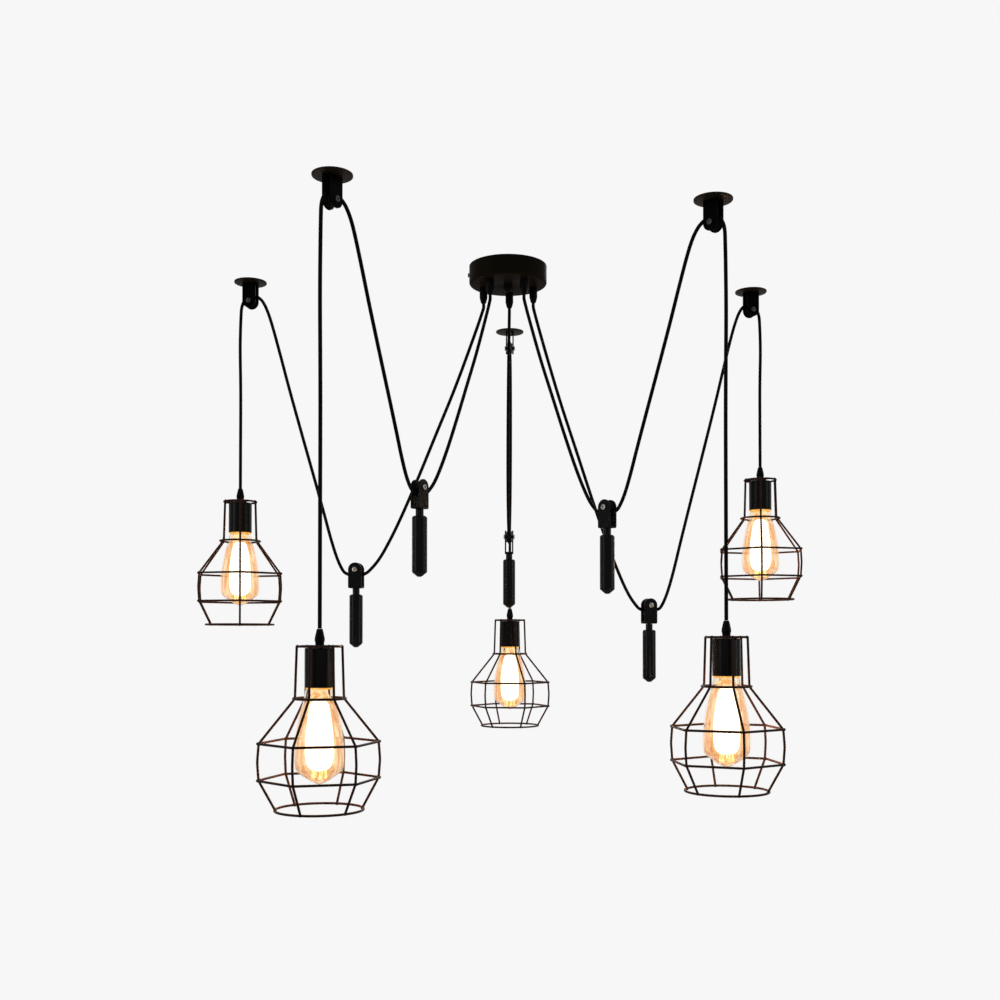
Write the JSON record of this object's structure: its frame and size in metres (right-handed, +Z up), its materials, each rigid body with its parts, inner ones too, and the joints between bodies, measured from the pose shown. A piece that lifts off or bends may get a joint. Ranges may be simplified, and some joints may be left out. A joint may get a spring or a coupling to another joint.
{
  "type": "cage pendant lamp",
  "caption": "Black ceiling pendant whose cords run under hanging counterweights and over ceiling pulleys to wire cages with amber bulbs.",
  "frame": {"origin": "middle of the canopy strap's top face, on the ceiling plane", "axes": "+Z up; the picture's camera looks along +Y; +X to its right"},
  "size_m": [1.0787, 0.9962, 0.8516],
  "materials": {
    "black_paint": "satin black powder coat",
    "weight_paint": "satin black paint on a turned steel rod",
    "holder_paint": "satin black paint",
    "cage_wire": "satin black paint on round wire",
    "black_nylon": "moulded nylon",
    "nickel": "nickel-plated",
    "zinc_steel": "zinc-plated",
    "cream_plastic": "moulded",
    "amber_glass": "clear amber glass",
    "cord_jacket": "black cable jacket"
  },
  "bodies": {
    "root": {"canopy_cup": "black_paint", "mounting_bar": "zinc_steel", "canopy_nut": "black_paint", "canopy_side_screw": "black_paint", "terminal_block": "cream_plastic", "front_left_ceiling_yoke": "black_paint", "front_left_ceiling_axle": "nickel", "front_left_cord": "cord_jacket", "front_right_ceiling_yoke": "black_paint", "front_right_ceiling_axle": "nickel", "front_right_cord": "cord_jacket", "left_ceiling_yoke": "black_paint", "left_ceiling_axle": "nickel", "left_cord": "cord_jacket", "right_ceiling_yoke": "black_paint", "right_ceiling_axle": "nickel", "right_cord": "cord_jacket", "rear_ceiling_yoke": "black_paint", "rear_ceiling_axle": "nickel", "rear_cord": "cord_jacket"},
    "front_left_lamp": {"front_left_lamp_holder": "holder_paint", "front_left_cage": "cage_wire", "front_left_bulb": "amber_glass"},
    "front_left_weight": {"front_left_weight_yoke": "black_paint", "front_left_weight_axle": "nickel", "front_left_weight_rod": "weight_paint"},
    "front_left_ceiling_pulley": {"front_left_ceiling_wheel": "black_nylon"},
    "front_left_weight_pulley": {"front_left_weight_wheel": "black_nylon"},
    "front_right_lamp": {"front_right_lamp_holder": "holder_paint", "front_right_cage": "cage_wire", "front_right_bulb": "amber_glass"},
    "front_right_weight": {"front_right_weight_yoke": "black_paint", "front_right_weight_axle": "nickel", "front_right_weight_rod": "weight_paint"},
    "front_right_ceiling_pulley": {"front_right_ceiling_wheel": "black_nylon"},
    "front_right_weight_pulley": {"front_right_weight_wheel": "black_nylon"},
    "left_lamp": {"left_lamp_holder": "holder_paint", "left_cage": "cage_wire", "left_bulb": "amber_glass"},
    "left_weight": {"left_weight_yoke": "black_paint", "left_weight_axle": "nickel", "left_weight_rod": "weight_paint"},
    "left_ceiling_pulley": {"left_ceiling_wheel": "black_nylon"},
    "left_weight_pulley": {"left_weight_wheel": "black_nylon"},
    "right_lamp": {"right_lamp_holder": "holder_paint", "right_cage": "cage_wire", "right_bulb": "amber_glass"},
    "right_weight": {"right_weight_yoke": "black_paint", "right_weight_axle": "nickel", "right_weight_rod": "weight_paint"},
    "right_ceiling_pulley": {"right_ceiling_wheel": "black_nylon"},
    "right_weight_pulley": {"right_weight_wheel": "black_nylon"},
    "rear_lamp": {"rear_lamp_holder": "holder_paint", "rear_cage": "cage_wire", "rear_bulb": "amber_glass"},
    "rear_weight": {"rear_weight_yoke": "black_paint", "rear_weight_axle": "nickel", "rear_weight_rod": "weight_paint"},
    "rear_ceiling_pulley": {"rear_ceiling_wheel": "black_nylon"},
    "rear_weight_pulley": {"rear_weight_wheel": "black_nylon"}
  },
  "joints": [
    {"name": "front_left_lamp_height", "type": "slide", "parent": "root", "child": "front_left_lamp", "axis": [0, 0, 1], "range_m": [-0.25, 0.2], "deforming": ["front_left_cord"]},
    {"name": "front_left_weight_height", "type": "slide", "parent": "root", "child": "front_left_weight", "axis": [0, 0, 1], "range_m": [-0.1138, 0.1415]},
    {"name": "front_left_ceiling_wheel_turn", "type": "hinge", "parent": "root", "child": "front_left_ceiling_pulley", "pos_m": [-0.23654, -0.38751, -0.0345], "axis": [0.8536, -0.521, 0], "continuous": true},
    {"name": "front_left_weight_wheel_turn", "type": "hinge", "parent": "front_left_weight", "child": "front_left_weight_pulley", "pos_m": [-0.13151, -0.21546, -0.4], "axis": [0.8536, -0.521, 0], "continuous": true},
    {"name": "front_right_lamp_height", "type": "slide", "parent": "root", "child": "front_right_lamp", "axis": [0, 0, 1], "range_m": [-0.25, 0.2], "deforming": ["front_right_cord"]},
    {"name": "front_right_weight_height", "type": "slide", "parent": "root", "child": "front_right_weight", "axis": [0, 0, 1], "range_m": [-0.1106, 0.1375]},
    {"name": "front_right_ceiling_wheel_turn", "type": "hinge", "parent": "root", "child": "front_right_ceiling_pulley", "pos_m": [0.29176, -0.30003, -0.0345], "axis": [0.7169, 0.6972, 0], "continuous": true},
    {"name": "front_right_weight_wheel_turn", "type": "hinge", "parent": "front_right_weight", "child": "front_right_weight_pulley", "pos_m": [0.15259, -0.15691, -0.4232], "axis": [0.7169, 0.6972, 0], "continuous": true},
    {"name": "left_lamp_height", "type": "slide", "parent": "root", "child": "left_lamp", "axis": [0, 0, 1], "range_m": [-0.3, 0.15], "deforming": ["left_cord"]},
    {"name": "left_weight_height", "type": "slide", "parent": "root", "child": "left_weight", "axis": [0, 0, 1], "range_m": [-0.08325, 0.1635]},
    {"name": "left_ceiling_wheel_turn", "type": "hinge", "parent": "root", "child": "left_ceiling_pulley", "pos_m": [-0.45156, 0.08614, -0.0345], "axis": [-0.1874, -0.9823, 0], "continuous": true},
    {"name": "left_weight_wheel_turn", "type": "hinge", "parent": "left_weight", "child": "left_weight_pulley", "pos_m": [-0.26041, 0.04968, -0.5071], "axis": [-0.1874, -0.9823, 0], "continuous": true},
    {"name": "right_lamp_height", "type": "slide", "parent": "root", "child": "right_lamp", "axis": [0, 0, 1], "range_m": [-0.3, 0.13], "deforming": ["right_cord"]},
    {"name": "right_weight_height", "type": "slide", "parent": "root", "child": "right_weight", "axis": [0, 0, 1], "range_m": [-0.07164, 0.1614]},
    {"name": "right_ceiling_wheel_turn", "type": "hinge", "parent": "root", "child": "right_ceiling_pulley", "pos_m": [0.43754, 0.14132, -0.0345], "axis": [-0.3074, 0.9516, 0], "continuous": true},
    {"name": "right_weight_wheel_turn", "type": "hinge", "parent": "right_weight", "child": "right_weight_pulley", "pos_m": [0.24546, 0.07928, -0.5674], "axis": [-0.3074, 0.9516, 0], "continuous": true},
    {"name": "rear_lamp_height", "type": "slide", "parent": "root", "child": "rear_lamp", "axis": [0, 0, 1], "range_m": [-0.25, 0.2], "deforming": ["rear_cord"]},
    {"name": "rear_weight_height", "type": "slide", "parent": "root", "child": "rear_weight", "axis": [0, 0, 1], "range_m": [-0.1104, 0.13725]},
    {"name": "rear_ceiling_wheel_turn", "type": "hinge", "parent": "root", "child": "rear_ceiling_pulley", "pos_m": [0.00363, 0.41598, -0.0345], "axis": [-1, 0.0087, 0], "continuous": true},
    {"name": "rear_weight_wheel_turn", "type": "hinge", "parent": "rear_weight", "child": "rear_weight_pulley", "pos_m": [0.00207, 0.23711, -0.4345], "axis": [-1, 0.0087, 0], "continuous": true}
  ],
  "couplings": [
    {"joint": "front_left_weight_height", "follows": "front_left_lamp_height", "ratio": -0.554},
    {"joint": "front_left_ceiling_wheel_turn", "follows": "front_left_lamp_height", "rad_per_m": -94.34},
    {"joint": "front_left_weight_wheel_turn", "follows": "front_left_lamp_height", "rad_per_m": 45.81},
    {"joint": "front_right_weight_height", "follows": "front_right_lamp_height", "ratio": -0.538},
    {"joint": "front_right_ceiling_wheel_turn", "follows": "front_right_lamp_height", "rad_per_m": -94.34},
    {"joint": "front_right_weight_wheel_turn", "follows": "front_right_lamp_height", "rad_per_m": 46.78},
    {"joint": "left_weight_height", "follows": "left_lamp_height", "ratio": -0.535},
    {"joint": "left_ceiling_wheel_turn", "follows": "left_lamp_height", "rad_per_m": -94.34},
    {"joint": "left_weight_wheel_turn", "follows": "left_lamp_height", "rad_per_m": 46.1},
    {"joint": "right_weight_height", "follows": "right_lamp_height", "ratio": -0.528},
    {"joint": "right_ceiling_wheel_turn", "follows": "right_lamp_height", "rad_per_m": -94.34},
    {"joint": "right_weight_wheel_turn", "follows": "right_lamp_height", "rad_per_m": 46.59},
    {"joint": "rear_weight_height", "follows": "rear_lamp_height", "ratio": -0.537},
    {"joint": "rear_ceiling_wheel_turn", "follows": "rear_lamp_height", "rad_per_m": -94.34},
    {"joint": "rear_weight_wheel_turn", "follows": "rear_lamp_height", "rad_per_m": 46.07}
  ]
}
